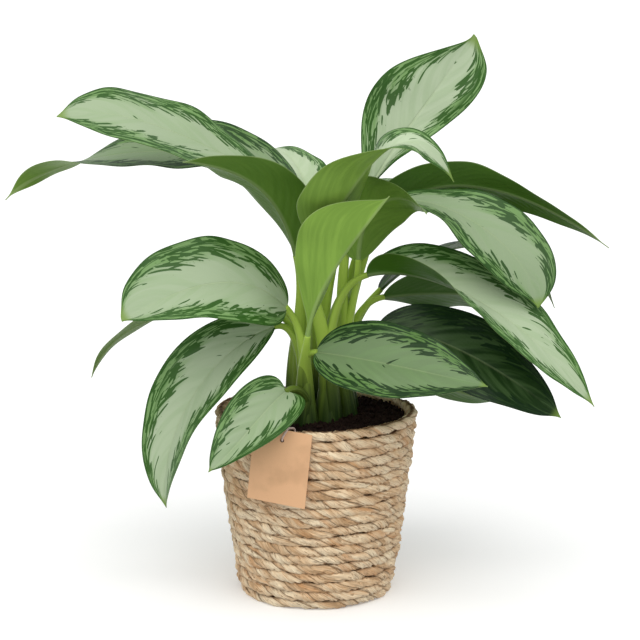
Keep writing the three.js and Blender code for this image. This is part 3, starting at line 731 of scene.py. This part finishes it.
class PLANT_OT_soil(bpy.types.Operator):
    """Fills the basket with lumpy soil, strews it with crumbs and finishes the liner"""

    bl_idname = "plant.soil"
    bl_label = "Soil and Liner"

    def execute(self, context):
        settings = context.scene.plant_soil
        low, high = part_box("soil")
        surface = Surface()
        radius = (high.x - low.x) / 2
        share = np.linspace(0, 1, 70)[:, None]
        angle = np.linspace(0, TURN, 241)[None, :]
        flat = np.stack([radius * share * np.cos(angle), radius * share * np.sin(angle)], -1)
        top = np.concatenate([flat, soil_height(settings, flat)[..., None]], -1)
        narrowed = (RIM_RADIUS - BASE_RADIUS) * (SOIL_TOP - low.z) / BASKET_HEIGHT
        wall = top[-1:] * (1 - narrowed / radius)
        wall[..., 2] = low.z
        base = wall * (0, 0, 1)
        surface.add(np.concatenate([top, wall, base]))
        surface.add(self.crumbs(settings, radius))
        surface.make("soil_surface", "potting_soil", [soil_material(settings)], "soil")
        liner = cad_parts["liner"]
        liner.data.materials.clear()
        liner.data.materials.append(liner_material())
        return {"FINISHED"}

    def crumbs(self, settings, radius):
        """Small lumps sunk into the soil, each a ball whose radius varies by smooth noise over its
        surface."""
        draw = np.random.default_rng(5)
        count = settings.crumbs
        rise = np.linspace(-math.pi / 2, math.pi / 2, 6)[:, None]
        turn = np.linspace(0, TURN, 9)[None, :]
        across = np.cos(rise)
        ball = np.stack([across * np.cos(turn), across * np.sin(turn), np.sin(rise) + 0 * turn], -1)
        size = draw.uniform(0.0006, 0.0026, (count, 1, 1, 1)) * draw.uniform(0.6, 1.5, (count, 1, 1, 3))
        shift = draw.uniform(-9, 9, (count, 1, 1, 3))
        lump = ball * (1 + 0.25 * ripple(ball + shift, 1.6, 6))[..., None] * size
        reach = (radius - 0.002) * np.sqrt(draw.uniform(0, 1, count))
        way = draw.uniform(0, TURN, count)
        flat = np.stack([reach * np.cos(way), reach * np.sin(way)], -1)
        place = np.concatenate([flat, soil_height(settings, flat)[..., None] + 0.0003], -1)
        return lump + place[:, None, None, :]


def soil_material(settings):
    """Nearly black earth with paler bits, rough all over."""
    graph = Graph("Potting Soil")
    place = graph.node("TexCoord", output="Object")
    grain = graph.noise(place, 900, detail=4, roughness=0.7)
    bits = graph.noise(place, 260, detail=2)
    base = graph.mix((grain * 0.6 + bits * 0.4).step(0.52, 0.72), settings.earth, settings.fibre)
    bump = graph.bump(grain, 0.0008)
    return graph.finish(Base_Color=base, Roughness=0.95, Specular_IOR_Level=0.2, Normal=bump)


def liner_material():
    """Thin black plastic with a faint crinkle."""
    graph = Graph("Liner Film")
    place = graph.node("TexCoord", output="Object")
    crinkle = graph.noise(place, 60, detail=3, roughness=0.6)
    return graph.finish(
        Base_Color=(0.012, 0.012, 0.013, 1),
        Roughness=crinkle.step(0.3, 0.7, 0.35, 0.55),
        Normal=graph.bump(crinkle, 0.0015, 0.6),
    )


# ---- Leaves -------------------------------------------------------------------------------------


def midrib_controls(leaf):
    """Control points of the cubic that passes through the midrib's four points at even steps."""
    a, b, c, d = np.array(leaf.midrib)
    return a, (-5 * a + 18 * b - 9 * c + 2 * d) / 6, (2 * a - 9 * b + 18 * c - 5 * d) / 6, d


def through(values, t):
    """The quadratic through three values at 0, 1/2 and 1."""
    start, middle, end = values
    return start * (1 - t) * (1 - 2 * t) + middle * 4 * t * (1 - t) + end * t * (2 * t - 1)


def half_width(leaf, u, right_half):
    """The width of one half of the flat blade: a power of u times a power of 1 - u, scaled to the half's
    width at its widest and pinched by a bell curve at the tip."""
    base = np.where(right_half, leaf.taper[2], leaf.taper[0])
    tip = np.where(right_half, leaf.taper[3], leaf.taper[1])
    widest = base / (base + tip)
    shape = u**base * (1 - u) ** tip / (widest**base * (1 - widest) ** tip)
    pinch = 1 - TIP_PINCH * np.exp(-(((1 - u) / TIP_PINCH_LENGTH) ** 2))
    full = np.where(right_half, leaf.halves[1], leaf.halves[0])
    return np.maximum(mix(BLADE_ROOT_HALF, BLADE_TIP_HALF, u), full * shape * pinch)


def blade_surface(leaf, u, v):
    """Middle surface of a blade, rows over u from base to tip and columns over v from the right margin,
    -1, to the left one, 1. Each half leaves the midrib at its lift and bends along an arc that keeps its
    width; its margin waves as a sine, and its lobes sweep back by a high power of 1 - u."""
    rib, along = bezier(midrib_controls(leaf), u)
    reach = np.array(leaf.midrib[3]) - np.array(leaf.midrib[0])
    level = np.cross(UP, normalised(reach * (1, 1, 0)))
    left = normalised(level - along * (along @ level)[:, None])
    roll = np.radians(through(leaf.roll, u))[:, None]
    left = left * np.cos(roll) + np.cross(along, left) * np.sin(roll)
    above = np.cross(along, left)
    u, v = u[:, None], v[None, :]
    right_half = v < 0
    share = np.abs(v)
    width = half_width(leaf, u, right_half)
    lift_base = np.where(right_half, leaf.lift[2], leaf.lift[0])
    lift_tip = np.where(right_half, leaf.lift[3], leaf.lift[1])
    lift = np.radians(mix(lift_tip, lift_base, (1 - u) ** 2))
    bend = np.radians(np.where(right_half, leaf.curl[1], leaf.curl[0])) + 1e-6
    out = width * (np.sin(lift + bend * share) - np.sin(lift)) / bend
    rise = width * (np.cos(lift) - np.cos(lift + bend * share)) / bend
    wave = leaf.wave * share**2 * np.sin(WAVE_SWING * u + WAVE_OFFSET * right_half) * np.sin(math.pi * u)
    full = np.where(right_half, leaf.halves[1], leaf.halves[0])
    lobe = leaf.lobe * share * (width - BLADE_ROOT_HALF) * (1 - u) ** LOBE_FADE / full
    sideways = np.where(right_half, -out, out)
    return (
        rib[:, None]
        + sideways[..., None] * left[:, None]
        + (rise + wave)[..., None] * above[:, None]
        - np.maximum(0, lobe)[..., None] * along[:, None]
    )


def facing(points):
    """Unit normals of a grid of points, from the slopes along its rows and columns."""
    return normalised(np.cross(np.gradient(points, axis=0), np.gradient(points, axis=1)))


def vein_flow(leaf, along, share):
    """Metres along the midrib that stay the same along a side vein: the distance along, less a quadratic in
    the share of the way to the margin, so that the veins leave the midrib at about 40 degrees and close in on
    the margin."""
    return along - max(leaf.halves) * (1.2 * share + 0.9 * share**2)


def leaf_surface(settings, number, leaf, rows=110, columns=41):
    """A blade's skin: over the top from margin to margin, round the edge and back below. The blade thins
    to its margins, quilts between its side veins, buckles a little, has a groove along its midrib above
    and the rib itself below, whose depth dies out as a bell curve to its sides and a power of u to its
    tip."""
    step = np.linspace(0, 1, rows)
    u = mix(step, (1 - np.cos(math.pi * step)) / 2, 0.5)
    v = mix(np.linspace(-1, 1, columns), np.sin(np.linspace(-math.pi / 2, math.pi / 2, columns)), 0.6)
    middle = blade_surface(leaf, u, v)
    normal = facing(middle)
    span = np.linalg.norm(np.diff(bezier(midrib_controls(leaf), u)[0], axis=0), axis=1).sum()
    u, v = u[:, None], v[None, :]
    share = np.abs(v)
    width = half_width(leaf, u, v < 0)
    from_rib = share * width
    flow = vein_flow(leaf, u * span, share)
    inner = np.sin(math.pi * np.clip(u * 1.2, 0, 1)) * np.sin(math.pi * np.clip(share * 1.1, 0, 1))
    quilt = settings.quilt * np.cos(TURN * flow / settings.vein_spacing) * inner
    buckle = settings.buckle * ripple(middle, 0.05, number) * share * np.sin(math.pi * u)
    body = settings.thickness * mix(1.0, 0.55, share**6)
    groove = GROOVE_DEPTH * np.exp(-((from_rib / GROOVE_HALF) ** 2)) * (1 - u) ** 0.7
    depth = settings.rib_depth * (1 - u**0.6) + RIB_TIP_DEPTH
    rib = depth * np.exp(-((from_rib / mix(*RIB_HALVES, u)) ** 2))
    top = middle + (body / 2 + quilt + buckle - groove)[..., None] * normal
    under = middle - (body / 2 - quilt - buckle + rib)[..., None] * normal
    loop = np.concatenate([top, under[:, ::-1], top[:, :1]], 1)

    def around(values):
        """A map of the blade carried round both of its sides."""
        values = np.broadcast_to(values, (rows, columns))
        return np.concatenate([values, values[:, ::-1], values[:, :1]], 1)

    shift = 0.37 * number
    pairs = {
        "blade": (u, (v + 1) / 2),
        "flow": (flow + shift, u * span + shift),
        "edges": (from_rib, width - from_rib),
        "tone": (leaf.silver, leaf.fresh),
    }
    maps = {name: repeated_ends(np.stack([around(a), around(b)], -1)) for name, (a, b) in pairs.items()}
    below = np.arange(2 * columns) >= columns - 1
    return capped(loop), np.broadcast_to(below, (rows + 1, 2 * columns)).ravel().astype(int), maps


class PLANT_OT_leaves(bpy.types.Operator):
    """Grows every blade: waved, quilted between its veins and keeled below"""

    bl_idname = "plant.leaves"
    bl_label = "Leaves"

    def execute(self, context):
        settings = context.scene.plant_leaf
        materials = [upper_material(settings), lower_material(settings)]
        for number, (name, leaf) in enumerate(LEAVES.items()):
            skin, slots, maps = leaf_surface(settings, number, leaf)
            surface = Surface()
            surface.add(skin, slots, **maps)
            surface.make("blade_" + name, "leaf", materials, "leaf_" + name)
        return {"FINISHED"}


def upper_material(settings):
    """Silver in the middle and green towards the margin. Dark dashes and small flecks follow the side veins,
    blotches and thin lines run along the margin outside them. The midrib is pale, the rim dark and thin, the
    tip yellow-green, and the less silver a leaf is, the darker its green: partly its age, and partly painted
    shade for the leaves that hang in the shade of others."""
    graph = Graph("Silver Leaf")
    u, v = graph.map("blade")
    flow, along = graph.map("flow")
    from_rib, from_margin = graph.map("edges")
    silver_and_shade, _ = graph.map("tone")
    share = abs(v * 2 - 1)
    cloud = graph.noise(graph.vector(flow * 26, along * 20, v * 2), detail=1)
    band = graph.noise(graph.vector(flow * 70, along * 10, v * 2), detail=2)
    side = v.step(0.499, 0.501) * 7
    dash = graph.noise(graph.vector(flow * 150, along * 44, v * 5), detail=0)
    blotch = graph.noise(graph.vector(share * 15 - along * 14, along * 62, side), detail=1, roughness=0.4)
    line = graph.noise(graph.vector(share * 21 - along * 14, along * 9, side), detail=2, roughness=0.4)
    fine = graph.noise(graph.vector(flow * 700, along * 120, v * 9), detail=2)
    fleck = graph.noise(graph.vector(flow * 300, along * 170, v * 9), detail=1)
    outward = share + (cloud - 0.5) * 0.55
    # How silver and how bright the upper side is follows the leaf's silver value: partly its age, partly
    # painted shade on leaves in the shade of others.
    marks_green = graph.mix(silver_and_shade.step(0.3, 0.8), settings.dark, settings.fresh)
    ground = graph.mix(silver_and_shade.step(0.0, 0.4), settings.old, settings.under)
    green = graph.mix(silver_and_shade.step(0.1, 0.9), ground, settings.pale)
    silver = graph.mix(silver_and_shade.step(0.1, 1.0), ground, settings.silver)
    base = graph.mix((outward + (band - 0.5) * 0.5).step(0.42, 0.82), silver, green)
    base = graph.mix(band.step(0.40, 0.62) * 0.16, base, settings.pale)
    ragged = (fine - 0.5) * 0.07
    inner = outward.step(0.34, 0.54, 0.80, 0.530) + share.step(0.68, 0.84, 0.0, 0.15)
    outer = outward.step(0.46, 0.64, 0.80, 0.520)
    dashes = (dash + ragged - inner).step(0.0, 0.018)
    blotches = (blotch + ragged - outer).step(0.0, 0.018)
    flecks = (fleck - outward.step(0.1, 0.6, 0.90, 0.70)).step(0.0, 0.02)
    lines = (line + ragged * 0.6 - 0.515).step(0.0, 0.03) * share.step(0.68, 0.82) * 0.85
    marks = dashes.math("MAXIMUM", dashes, flecks)
    marks = marks.math("MAXIMUM", marks, blotches) * u.step(0.995, 0.95)
    base = graph.mix(lines, base, marks_green)
    base = graph.mix(marks * 0.93, base, marks_green)
    base = graph.mix(from_margin.step(0.0020, 0.0010) * 0.85, base, marks_green)
    rib = from_rib.step(0.0016, 0.0004) * u.step(0.98, 0.55)
    base = graph.mix(rib * 0.16, base, settings.rib)
    base = graph.mix(u.step(0.94, 0.985) * 0.9, base, settings.tip)
    relief = dash * 0.15 + band * 0.7 + fine * 0.2 - rib * 0.8
    return graph.finish(
        Base_Color=base,
        Roughness=fine.step(0.3, 0.7, 0.36, 0.48),
        Specular_IOR_Level=0.24,
        Normal=graph.bump(relief, 0.0011, 0.5),
    )


def lower_material(settings):
    """Plain green, darker or fresher partly by the leaf's age and partly by painted light: fresher where
    light shines through the leaf, darker where it hangs in shade. A little paler along the midrib and the
    margin.
    """
    graph = Graph("Leaf Underside")
    flow, along = graph.map("flow")
    _, v = graph.map("blade")
    from_rib, from_margin = graph.map("edges")
    _, fresh = graph.map("tone")
    streak = graph.noise(graph.vector(flow * 60, along * 9, v * 3), detail=3, roughness=0.6)
    fine = graph.noise(graph.vector(flow * 700, along * 120, v * 9), detail=2)
    # The fresh value: partly the leaf's age, partly painted light shining through it, and low for leaves in
    # shade as painted shade.
    base = graph.mix(fresh, settings.under, settings.young)
    base = graph.mix(streak.step(0.35, 0.65) * 0.25, base, settings.under)
    base = graph.mix(from_rib.step(0.0030, 0.0008) * 0.30, base, settings.rib)
    base = graph.mix(from_margin.step(0.0012, 0.0003) * 0.35, base, settings.rib)
    return graph.finish(
        Base_Color=base,
        Roughness=fine.step(0.3, 0.7, 0.40, 0.52),
        Specular_IOR_Level=0.16,
        Normal=graph.bump(streak * 0.6 + fine * 0.3, 0.0008, 0.3),
    )


# ---- Stalks -------------------------------------------------------------------------------------


def petiole(settings, leaf, rows=64, sides=28):
    """A petiole: straight up out of the soil beside its cane, then a cubic on to its blade. Its radii narrow
    from the sheath by a power of the way back. The sheath is open on one side: a hollow runs along it, a bell
    curve round the section, between two thin raised edges."""
    x, y = SHOOTS[leaf.shoot]
    start = np.array([x, y, SOIL_TOP + leaf.leaves])
    rib, heading = bezier(midrib_controls(leaf), np.zeros(1))
    meets = rib[0] + heading[0] * 0.0015
    reach = np.linalg.norm(meets - start)
    t = np.linspace(0, 1, rows)
    controls = (start, start + UP * STALK_RISE * reach, meets - heading[0] * STALK_RUN * reach, meets)
    centres, along = bezier(controls, t)
    outwards = normalised((meets - start) * (1, 1, 0))
    below = np.linspace(-leaf.leaves - 0.008, 0, 12, endpoint=False)
    aside = settings.sheath_offset * (below / below[0]) ** 0.7
    centres = np.concatenate([start + UP * below[:, None] + outwards * aside[:, None], centres])
    along = np.concatenate([np.tile(UP, (len(below), 1)), along])
    t = np.concatenate([0 * below, t])
    across = np.cross(UP, outwards)
    across = normalised(across - along * (along @ across)[:, None])
    normal = np.cross(along, across)
    sheath = ((1 - t) ** SHEATH_FADE)[:, None]
    swell = (1 + settings.sheath_swell * np.concatenate([below / below[0], np.zeros(rows)]))[:, None]
    angle = np.linspace(0, TURN, sides + 1)[None, :]
    from_open = np.abs(np.mod(angle - TURN / 4 + TURN / 2, TURN) - TURN / 2)
    hollow = 1 - HOLLOW_DEPTH * np.exp(-((from_open / HOLLOW_HALF) ** 2)) * (0.25 + 0.75 * sheath)
    edge = EDGE_HEIGHT * np.exp(-(((from_open - EDGE_PLACE) / EDGE_HALF) ** 2)) * sheath
    wide, deep = (mix(STALK_RADIUS, full, sheath) * swell * (hollow + edge) for full in SHEATH_RADII)
    rings = tube(centres, across, normal, wide, deep, sides)
    height = np.broadcast_to(centres[:, 2:] - SOIL_TOP, wide.shape)
    lines = np.stack([height, np.broadcast_to(angle, wide.shape)], -1)
    return rings, lines, np.broadcast_to(edge / EDGE_HEIGHT, wide.shape)


def cane(place, rows=24, sides=28):
    """A cane: a column that narrows to a blunt top among its sheaths."""
    t = np.linspace(0, 1, rows)
    heights = mix(-0.012, CANE_HEIGHT, t)
    radius = CANE_RADIUS * np.interp(t, (0, 0.7, 1), (1, 0.85, 0.5))
    centres = np.stack([np.full(rows, place[0]), np.full(rows, place[1]), heights + SOIL_TOP], -1)
    axes = [np.broadcast_to(axis, centres.shape) for axis in ((1.0, 0, 0), (0, 1.0, 0))]
    rings = tube(centres, *axes, radius[:, None], radius[:, None], sides)
    angle = np.linspace(0, TURN, sides + 1)
    return rings, np.stack(np.broadcast_arrays(heights[:, None], angle[None, :]), -1)


class PLANT_OT_shoots(bpy.types.Operator):
    """Raises the six shoots: each a cane and the sheathed petioles that it carries"""

    bl_idname = "plant.shoots"
    bl_label = "Shoots"

    def execute(self, context):
        settings = context.scene.plant_stalk
        material = stalk_material(settings)
        for shoot, place in SHOOTS.items():
            surface = Surface()
            rings, lines = cane(place)
            tone = np.full(lines.shape, (0.0, 0.0))
            surface.add(capped(rings), lines=repeated_ends(lines), tone=repeated_ends(tone))
            for number, leaf in enumerate(LEAVES.values()):
                if leaf.shoot != shoot:
                    continue
                rings, lines, edge = petiole(settings, leaf)
                # A petiole's brightness follows its leaf's fresh value, so it carries the same painted light
                # and shade, plus a share that differs from stalk to stalk.
                bright = mix(0.62, 1.0, leaf.fresh) + 0.18 * math.sin(number * 2.4) ** 2
                tone = np.stack([np.full(edge.shape, bright), edge], -1)
                surface.add(capped(rings), lines=repeated_ends(lines), tone=repeated_ends(tone))
            surface.make(f"stalks_{shoot}", "stalk", [material], f"shoot_{shoot}")
        return {"FINISHED"}


def stalk_material(settings):
    """Green stalks, each with its own brightness, darker towards the soil, partly by their own deeper green
    and partly as painted shade under the leaves, streaked lengthwise, with pale edges to their sheaths."""
    graph = Graph("Stalk")
    height, around = graph.map("lines")
    bright, edge = graph.map("tone")
    streak = graph.noise(graph.vector(height * 7, around * 2.2, bright * 40), detail=3, roughness=0.5)
    # Darker towards the soil: partly the sheaths' own deeper green, partly painted shade under the leaves.
    fresh = bright * height.step(-0.005, 0.105, 0.10, 1.0) + (streak - 0.5) * 0.40
    base = graph.mix(fresh.step(0.0, 0.9), settings.deep, settings.bright)
    base = graph.mix(edge.step(0.35, 0.95) * height.step(0.02, 0.12, 0.0, 0.25), base, settings.edge)
    return graph.finish(
        Base_Color=base, Roughness=0.45, Specular_IOR_Level=0.14, Normal=graph.bump(streak, 0.0006, 0.3)
    )


# ---- Tag ----------------------------------------------------------------------------------------


def spline(points, steps):
    """A smooth curve through the points: on each span the cubic whose end slopes are half the step from the
    point before to the point after."""
    points = np.array(points, float)
    padded = np.concatenate([2 * points[:1] - points[1:2], points, 2 * points[-1:] - points[-2:-1]])
    t = np.linspace(0, len(points) - 1, steps)
    span = np.minimum(t.astype(int), len(points) - 2)
    t = (t - span)[:, None]
    a, b, c, d = (padded[span + i] for i in range(4))
    return 0.5 * (2 * b + (c - a) * t + (2 * a - 5 * b + 4 * c - d) * t**2 + (3 * b - a - 3 * c + d) * t**3)


class PLANT_OT_tag(bpy.types.Operator):
    """Finishes the paper tag and ties it with twisted twine"""

    bl_idname = "plant.tag"
    bl_label = "Paper Tag"

    def execute(self, context):
        settings = context.scene.plant_tag
        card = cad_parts["tag"]
        card.data.materials.clear()
        card.data.materials.append(card_material(settings))
        right = np.array([math.cos(TAG_YAW), -math.sin(TAG_YAW), 0])
        out = np.cross(right, UP)
        pitch = BASKET_HEIGHT / context.scene.plant_basket.courses
        hole = out * (basket_radius(BASKET_HEIGHT - pitch / 2) + TAG_STANDOFF) + UP * TAG_HOLE_HEIGHT
        route = hole + spline(TWINE_ROUTE, 160) @ np.stack([right, UP, out])
        along = normalised(np.gradient(route, axis=0))
        across = normalised(right - along * (along @ right)[:, None])
        normal = np.cross(along, across)
        steps = np.concatenate([[0], np.linalg.norm(np.diff(route, axis=0), axis=1).cumsum()])
        surface = Surface()
        for ply in (0, math.pi):
            turn = (steps * TURN / TWINE_LAY + ply)[:, None]
            radius = settings.twine_radius / 2
            centres = route + radius * (np.cos(turn) * across + np.sin(turn) * normal)
            size = np.full((len(route), 1), radius * 1.05)
            rings = tube(centres, across, normal, size, size, 10)
            angle = np.linspace(0, TURN, 11)
            lines = np.stack(np.broadcast_arrays(steps[:, None], angle[None, :]), -1)
            surface.add(capped(rings), lines=repeated_ends(lines))
        surface.make("twine", "twine", [twine_material(settings)], "tag_twine")
        return {"FINISHED"}


def card_material(settings):
    """Brown card, clouded and flecked with fibres."""
    graph = Graph("Kraft Card")
    place = graph.node("TexCoord", output="Object")
    cloud = graph.noise(place, 28, detail=3)
    stretched = graph.node("Mapping", {0: place, "Scale": (1, 1, 0.5)})
    fibre = graph.noise(stretched, 1400, detail=3, roughness=0.7)
    base = graph.mix(cloud.step(0.52, 0.74) * 0.35, settings.card, settings.card_fibre)
    base = graph.mix(fibre.step(0.60, 0.72) * 0.35, base, settings.card_fibre)
    bump = graph.bump(fibre, 0.0002, 0.5)
    return graph.finish(Base_Color=base, Roughness=0.82, Specular_IOR_Level=0.25, Normal=bump)


def twine_material(settings):
    """Pale twine with fine lengthwise fibres."""
    graph = Graph("Twine")
    along, around = graph.map("lines")
    fibre = graph.noise(graph.vector(along * 900, around * 3), detail=3, roughness=0.6)
    darker = [c * 0.7 for c in settings.twine[:3]] + [1]
    base = graph.mix(fibre.step(0.35, 0.65), darker, settings.twine)
    bump = graph.bump(fibre, 0.0002, 0.6)
    return graph.finish(Base_Color=base, Roughness=0.85, Specular_IOR_Level=0.2, Normal=bump)


# ---- Stage --------------------------------------------------------------------------------------


class PLANT_OT_stage(bpy.types.Operator):
    """Sets up the pale floor, the soft light and the camera"""

    bl_idname = "plant.stage"
    bl_label = "Stage"

    def execute(self, context):
        settings = context.scene.plant_stage
        scene = context.scene
        self.floor(scene, settings)
        self.lights(scene, settings)
        data = bpy.data.cameras.new("Camera")
        data.lens = settings.camera_lens
        data.sensor_width = 36
        camera = bpy.data.objects.new("Camera", data)
        camera.location = (0, -settings.camera_distance, settings.camera_height)
        camera.rotation_euler = (math.pi / 2 - settings.camera_pitch, 0, -settings.camera_yaw)
        scene.collection.objects.link(camera)
        scene.camera = camera
        scene.view_settings.view_transform = "Standard"
        return {"FINISHED"}

    def floor(self, scene, settings):
        mesh = bpy.data.meshes.new("floor")
        corners = [(x * FLOOR_REACH, y * FLOOR_REACH, 0) for x, y in ((-1, -1), (1, -1), (1, 1), (-1, 1))]
        mesh.from_pydata(corners, [], [(0, 1, 2, 3)])
        graph = Graph("Pale Floor")
        mesh.materials.append(
            graph.finish(
                Base_Color=settings.floor,
                Roughness=0.9,
                Specular_IOR_Level=0.1,
                Emission_Color=settings.floor,
                Emission_Strength=settings.glow,
            )
        )
        floor = bpy.data.objects.new("floor", mesh)
        floor.visible_diffuse = False
        scene.collection.objects.link(floor)

    def lights(self, scene, settings):
        world = bpy.data.worlds.new("Studio")
        scene.world = world
        world.use_nodes = True
        background = world.node_tree.nodes["Background"]
        background.inputs["Color"].default_value = settings.sky_tint
        background.inputs["Strength"].default_value = settings.sky
        data = bpy.data.lights.new("Key", "SUN")
        data.energy = settings.key
        data.angle = settings.key_spread
        data.color = settings.key_tint[:3]
        key = bpy.data.objects.new("Key", data)
        key.rotation_euler = Vector(settings.key_from).to_track_quat("Z", "Y").to_euler()
        scene.collection.objects.link(key)


# ---- Add-on -------------------------------------------------------------------------------------

GROUPS = {
    "plant_basket": BasketSettings,
    "plant_soil": SoilSettings,
    "plant_tag": TagSettings,
    "plant_stalk": StalkSettings,
    "plant_leaf": LeafSettings,
    "plant_stage": StageSettings,
}
OPERATORS = (PLANT_OT_basket, PLANT_OT_soil, PLANT_OT_tag, PLANT_OT_shoots, PLANT_OT_leaves, PLANT_OT_stage)


class PLANT_PT_sidebar(bpy.types.Panel):
    """Lists the plant's pieces with their sizes and colours"""

    bl_label = "Potted Chinese Evergreen"
    bl_idname = "PLANT_PT_sidebar"
    bl_space_type = "VIEW_3D"
    bl_region_type = "UI"
    bl_category = "Plant"

    def draw(self, context):
        for operator in OPERATORS:
            self.layout.operator(operator.bl_idname)
        for name, group in GROUPS.items():
            box = self.layout.box()
            for setting in group.__annotations__:
                box.prop(getattr(context.scene, name), setting)


def register():
    for name, group in GROUPS.items():
        bpy.utils.register_class(group)
        setattr(bpy.types.Scene, name, PointerProperty(type=group))
    for cls in (*OPERATORS, PLANT_PT_sidebar):
        bpy.utils.register_class(cls)


def unregister():
    for cls in (*OPERATORS, PLANT_PT_sidebar):
        bpy.utils.unregister_class(cls)
    for name, group in GROUPS.items():
        delattr(bpy.types.Scene, name)
        bpy.utils.unregister_class(group)


def main():
    register()
    bpy.ops.plant.stage()
    bpy.ops.plant.basket()
    bpy.ops.plant.soil()
    bpy.ops.plant.tag()
    bpy.ops.plant.shoots()
    bpy.ops.plant.leaves()


if __name__ == "__main__":
    main()
